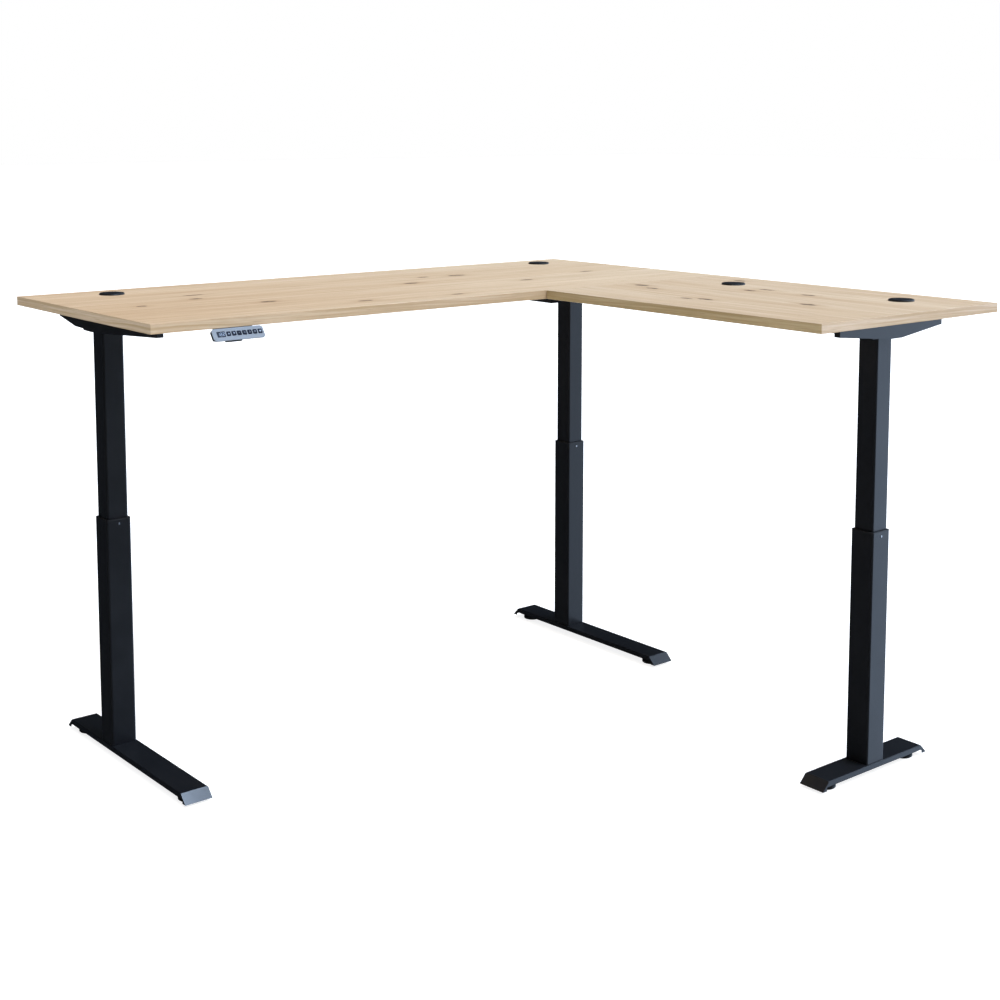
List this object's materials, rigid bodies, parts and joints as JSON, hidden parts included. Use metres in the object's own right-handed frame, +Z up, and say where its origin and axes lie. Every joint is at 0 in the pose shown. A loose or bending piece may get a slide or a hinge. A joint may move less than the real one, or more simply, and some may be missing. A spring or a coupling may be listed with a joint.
{
  "type": "height adjustable standing desk",
  "caption": "L-shaped electric sit-stand desk: light oak boards with cable grommets on square telescopic black columns with long flat feet and a button handset.",
  "frame": {"origin": "on the floor, under the centre of the L's bounding rectangle", "axes": "+Z up; +Y from the side where the user sits at the main top towards its back edge; +X along the main top towards the return"},
  "size_m": [2, 1.835, 1.2264],
  "materials": {
    "powder_coat": "fine-textured satin black powder coat",
    "zinc_steel": "bright zinc plate",
    "black_plastic": "fine matt",
    "glide_plastic": "matt",
    "nut_plastic": "natural acetal",
    "motor_housing": "matt black",
    "oak_board": "matt light oak decor board with matching edge band",
    "silver_face": "satin silver-blue",
    "display_window": "gloss black",
    "button_rubber": "satin"
  },
  "bodies": {
    "left_leg": {"left_foot": "powder_coat", "left_foot_bolts": "zinc_steel", "left_column_outer": "powder_coat", "left_collar": "black_plastic", "left_collar_screw": "zinc_steel", "left_lift_nut": "nut_plastic"},
    "corner_leg": {"corner_foot": "powder_coat", "corner_foot_bolts": "zinc_steel", "corner_column_outer": "powder_coat", "corner_collar": "black_plastic", "corner_collar_screw": "zinc_steel", "corner_lift_nut": "nut_plastic"},
    "right_leg": {"right_foot": "powder_coat", "right_foot_bolts": "zinc_steel", "right_column_outer": "powder_coat", "right_collar": "black_plastic", "right_collar_screw": "zinc_steel", "right_lift_nut": "nut_plastic"},
    "desk_top": {"main_top": "oak_board", "return_top": "oak_board", "main_rails": "powder_coat", "return_rails": "powder_coat", "frame_screws": "zinc_steel", "control_box": "black_plastic", "grommet_rings": "black_plastic", "handset_body": "black_plastic", "handset_panel": "silver_face", "handset_display": "display_window", "left_column_inner": "powder_coat", "left_slider": "nut_plastic", "left_gear_motor": "motor_housing", "left_side_arm": "powder_coat", "corner_column_inner": "powder_coat", "corner_slider": "nut_plastic", "corner_gear_motor": "motor_housing", "corner_side_arm": "powder_coat", "right_column_inner": "powder_coat", "right_slider": "nut_plastic", "right_gear_motor": "motor_housing", "right_side_arm": "powder_coat"},
    "left_screw": {"left_spindle": "zinc_steel"},
    "corner_screw": {"corner_spindle": "zinc_steel"},
    "right_screw": {"right_spindle": "zinc_steel"},
    "left_glide_front": {"left_glide_front": "glide_plastic"},
    "left_glide_rear": {"left_glide_rear": "glide_plastic"},
    "corner_glide_front": {"corner_glide_front": "glide_plastic"},
    "corner_glide_rear": {"corner_glide_rear": "glide_plastic"},
    "right_glide_front": {"right_glide_front": "glide_plastic"},
    "right_glide_rear": {"right_glide_rear": "glide_plastic"},
    "cap_1": {"grommet_cap_1": "black_plastic"},
    "cap_2": {"grommet_cap_2": "black_plastic"},
    "cap_3": {"grommet_cap_3": "black_plastic"},
    "cap_4": {"grommet_cap_4": "black_plastic"},
    "key_1": {"button_1": "button_rubber"},
    "key_2": {"button_2": "button_rubber"},
    "key_3": {"button_3": "button_rubber"},
    "key_4": {"button_4": "button_rubber"},
    "key_5": {"button_5": "button_rubber"},
    "key_6": {"button_6": "button_rubber"},
    "key_7": {"button_7": "button_rubber"}
  },
  "joints": [
    {"name": "lift", "type": "slide", "parent": "left_leg", "child": "desk_top", "axis": [0, 0, 1], "range_m": [-0.5, 0.01]},
    {"name": "lift_corner", "type": "slide", "parent": "desk_top", "child": "corner_leg", "axis": [0, 0, 1], "range_m": [-0.01, 0.5]},
    {"name": "lift_right", "type": "slide", "parent": "desk_top", "child": "right_leg", "axis": [0, 0, 1], "range_m": [-0.01, 0.5]},
    {"name": "left_screw_turn", "type": "hinge", "parent": "desk_top", "child": "left_screw", "pos_m": [-0.918, 0.5115, 0.835], "axis": [0, 0, 1], "range_deg": [-18500, 500]},
    {"name": "corner_screw_turn", "type": "hinge", "parent": "desk_top", "child": "corner_screw", "pos_m": [0.72, 0.5115, 0.835], "axis": [0, 0, 1], "range_deg": [-18500, 500]},
    {"name": "right_screw_turn", "type": "hinge", "parent": "desk_top", "child": "right_screw", "pos_m": [0.556, -0.8545, 0.835], "axis": [0, 0, 1], "range_deg": [-18500, 500]},
    {"name": "left_glide_front_screw", "type": "slide", "parent": "left_leg", "child": "left_glide_front", "axis": [0, 0, -1], "range_m": [0, 0.008]},
    {"name": "left_glide_rear_screw", "type": "slide", "parent": "left_leg", "child": "left_glide_rear", "axis": [0, 0, -1], "range_m": [0, 0.008]},
    {"name": "corner_glide_front_screw", "type": "slide", "parent": "corner_leg", "child": "corner_glide_front", "axis": [0, 0, -1], "range_m": [0, 0.008]},
    {"name": "corner_glide_rear_screw", "type": "slide", "parent": "corner_leg", "child": "corner_glide_rear", "axis": [0, 0, -1], "range_m": [0, 0.008]},
    {"name": "right_glide_front_screw", "type": "slide", "parent": "right_leg", "child": "right_glide_front", "axis": [0, 0, -1], "range_m": [0, 0.008]},
    {"name": "right_glide_rear_screw", "type": "slide", "parent": "right_leg", "child": "right_glide_rear", "axis": [0, 0, -1], "range_m": [0, 0.008]},
    {"name": "cap_1_turn", "type": "hinge", "parent": "desk_top", "child": "cap_1", "pos_m": [-0.77, 0.7955, 1.22], "axis": [0, 0, 1], "continuous": true},
    {"name": "cap_2_turn", "type": "hinge", "parent": "desk_top", "child": "cap_2", "pos_m": [0.824, 0.7935, 1.22], "axis": [0, 0, 1], "continuous": true},
    {"name": "cap_3_turn", "type": "hinge", "parent": "desk_top", "child": "cap_3", "pos_m": [0.814, -0.1245, 1.22], "axis": [0, 0, 1], "continuous": true},
    {"name": "cap_4_turn", "type": "hinge", "parent": "desk_top", "child": "cap_4", "pos_m": [0.838, -0.7215, 1.22], "axis": [0, 0, 1], "continuous": true},
    {"name": "button_1_press", "type": "slide", "parent": "desk_top", "child": "key_1", "axis": [0, 0.8, -0.6], "range_m": [0, 0.0008], "stiffness_N_per_m": 800, "springref_m": -0.0003},
    {"name": "button_2_press", "type": "slide", "parent": "desk_top", "child": "key_2", "axis": [0, 0.8, -0.6], "range_m": [0, 0.0008], "stiffness_N_per_m": 800, "springref_m": -0.0003},
    {"name": "button_3_press", "type": "slide", "parent": "desk_top", "child": "key_3", "axis": [0, 0.8, -0.6], "range_m": [0, 0.0008], "stiffness_N_per_m": 800, "springref_m": -0.0003},
    {"name": "button_4_press", "type": "slide", "parent": "desk_top", "child": "key_4", "axis": [0, 0.8, -0.6], "range_m": [0, 0.0008], "stiffness_N_per_m": 800, "springref_m": -0.0003},
    {"name": "button_5_press", "type": "slide", "parent": "desk_top", "child": "key_5", "axis": [0, 0.8, -0.6], "range_m": [0, 0.0008], "stiffness_N_per_m": 800, "springref_m": -0.0003},
    {"name": "button_6_press", "type": "slide", "parent": "desk_top", "child": "key_6", "axis": [0, 0.8, -0.6], "range_m": [0, 0.0008], "stiffness_N_per_m": 800, "springref_m": -0.0003},
    {"name": "button_7_press", "type": "slide", "parent": "desk_top", "child": "key_7", "axis": [0, 0.8, -0.6], "range_m": [0, 0.0008], "stiffness_N_per_m": 800, "springref_m": -0.0003}
  ],
  "couplings": [
    {"joint": "lift_corner", "follows": "lift", "ratio": -1},
    {"joint": "lift_right", "follows": "lift", "ratio": -1},
    {"joint": "left_screw_turn", "follows": "lift", "rad_per_m": 628.32},
    {"joint": "corner_screw_turn", "follows": "lift", "rad_per_m": 628.32},
    {"joint": "right_screw_turn", "follows": "lift", "rad_per_m": 628.32}
  ]
}
